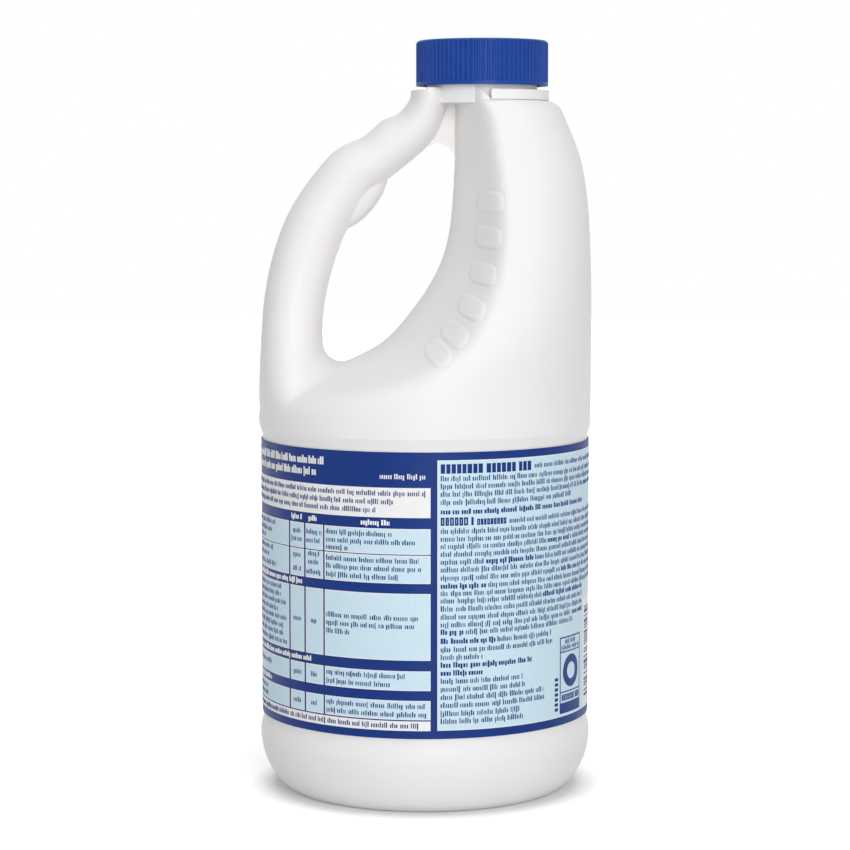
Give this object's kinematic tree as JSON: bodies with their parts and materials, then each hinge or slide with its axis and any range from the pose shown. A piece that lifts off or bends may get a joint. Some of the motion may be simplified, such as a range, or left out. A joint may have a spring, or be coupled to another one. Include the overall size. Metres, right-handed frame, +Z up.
{
  "type": "bleach bottle",
  "caption": "Round blow-moulded household bottle with a looped side handle, an offset screw neck, a ribbed screw cap and a wrap-around label.",
  "frame": {"origin": "on the body's axis, in the plane that the base ring rests on", "axes": "+Z up along the body's axis, -X towards the handle, +X towards the offset neck, -Y towards the viewer"},
  "size_m": [0.1073, 0.107, 0.2408],
  "materials": {
    "bottle_plastic": "satin white blow-moulded polyethylene",
    "cap_plastic": "satin blue moulded polypropylene",
    "liner_foam": "matt white foamed polyethylene",
    "label_film": "printed plastic film, semi-gloss"
  },
  "bodies": {
    "bottle": {"bottle": "bottle_plastic", "label": "label_film"},
    "liner": {"cap_liner": "liner_foam"},
    "cap": {"cap": "cap_plastic"}
  },
  "joints": [
    {"name": "cap_rise", "type": "slide", "parent": "bottle", "child": "liner", "axis": [0, 0, 1], "range_m": [0, 0.00529]},
    {"name": "cap_spin", "type": "hinge", "parent": "liner", "child": "cap", "pos_m": [0.0183, 0, 0.2335], "axis": [0, 0, 1], "range_deg": [0, 450]}
  ],
  "couplings": [
    {"joint": "cap_rise", "follows": "cap_spin", "m_per_rad": 0.00067322}
  ]
}
